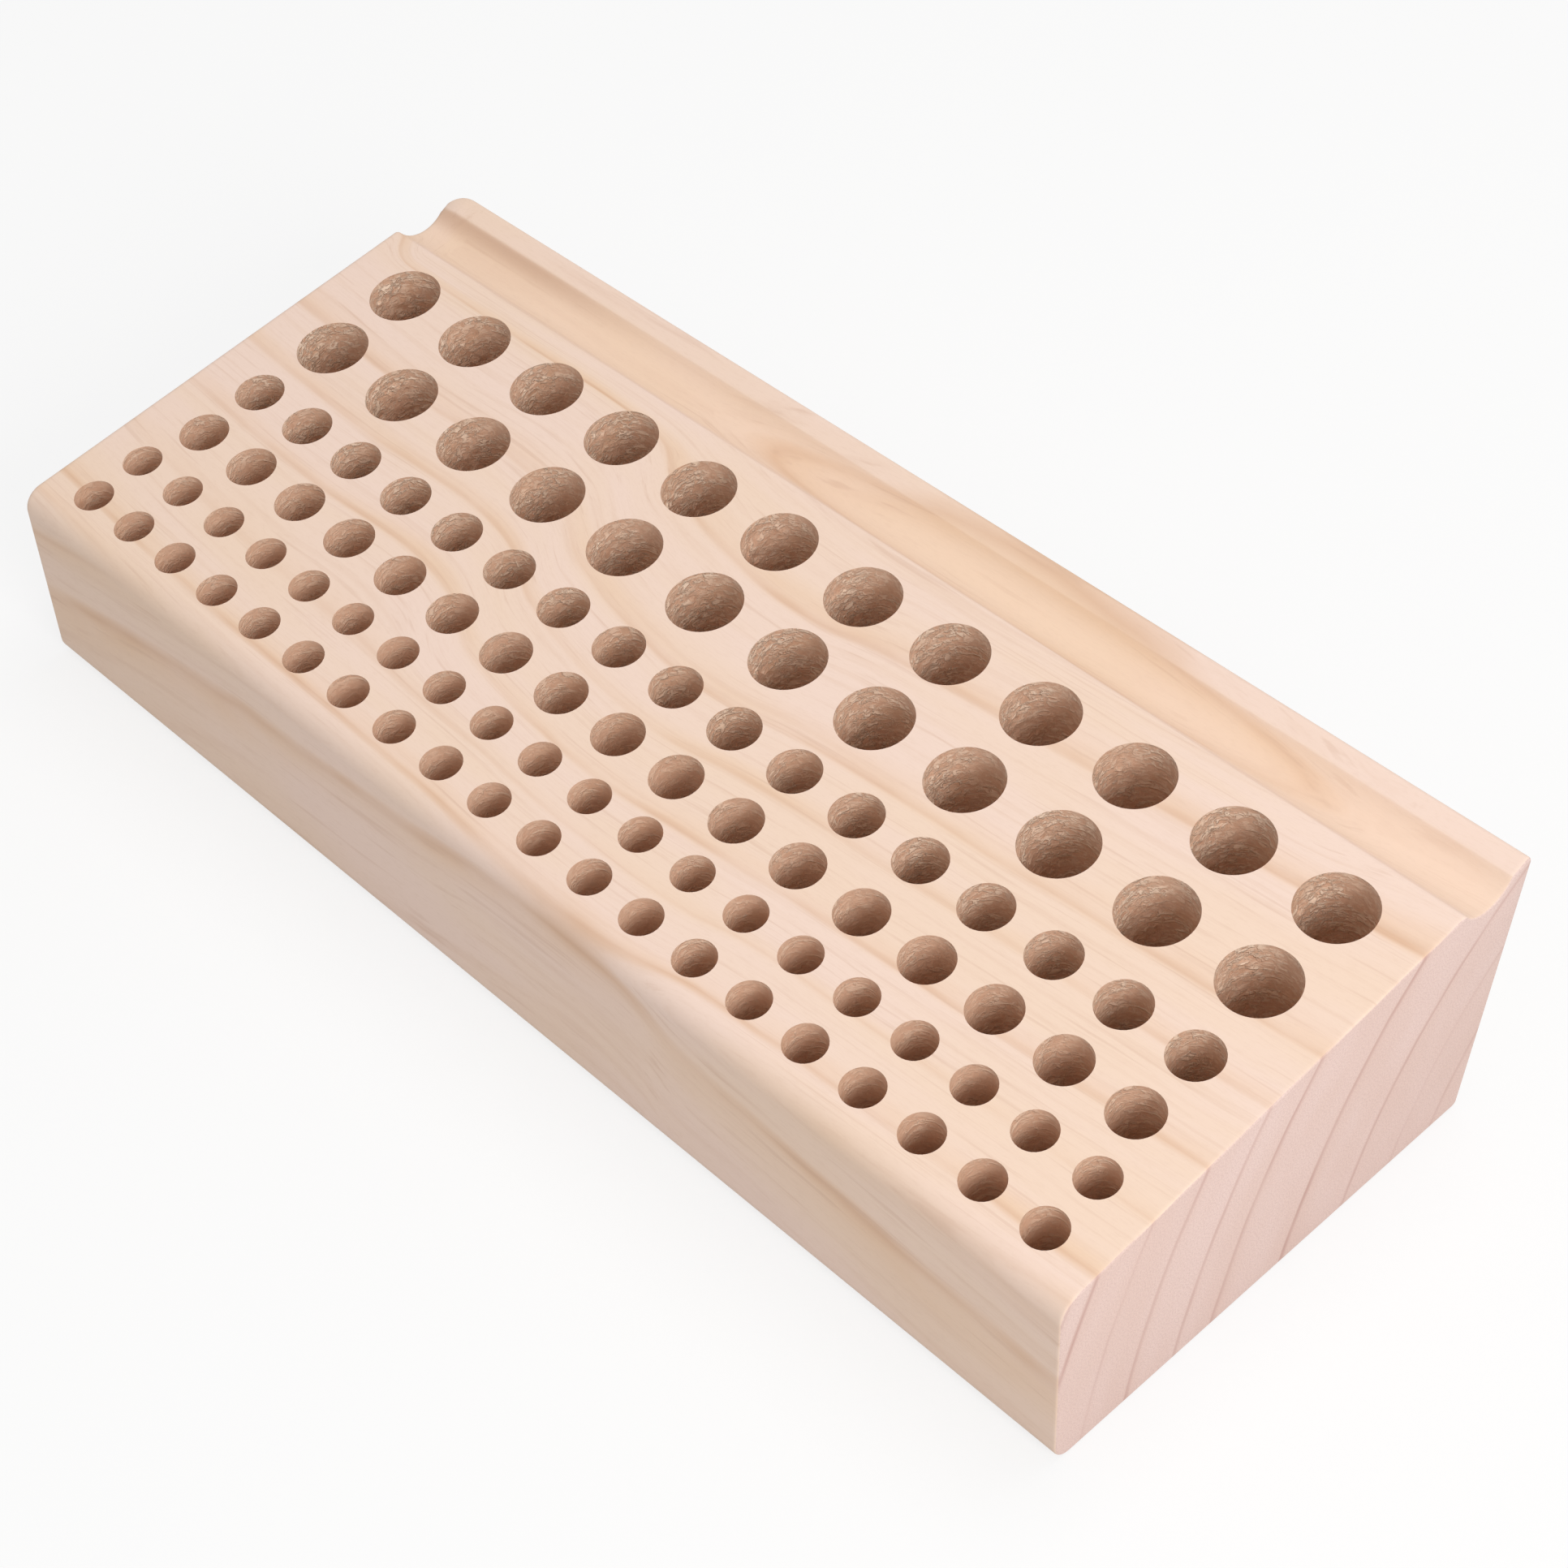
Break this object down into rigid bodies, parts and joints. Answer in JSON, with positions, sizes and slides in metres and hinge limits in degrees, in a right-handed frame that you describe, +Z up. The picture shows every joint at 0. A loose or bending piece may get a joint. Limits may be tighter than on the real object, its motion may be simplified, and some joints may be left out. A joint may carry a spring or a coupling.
{
  "type": "wooden tool rack",
  "caption": "Solid wooden block with a sloping top, rows of round holes in three sizes for upright tools, and a shallow trough along the back.",
  "frame": {"origin": "under the middle of the block's overall size, on the plane that it stands on", "axes": "+X along the block, +Y from its front to its back, +Z up"},
  "size_m": [0.24, 0.099, 0.0481],
  "materials": {
    "pine": "matt, unfinished planed softwood"
  },
  "bodies": {
    "root": {"rack_block": "pine"}
  },
  "joints": []
}
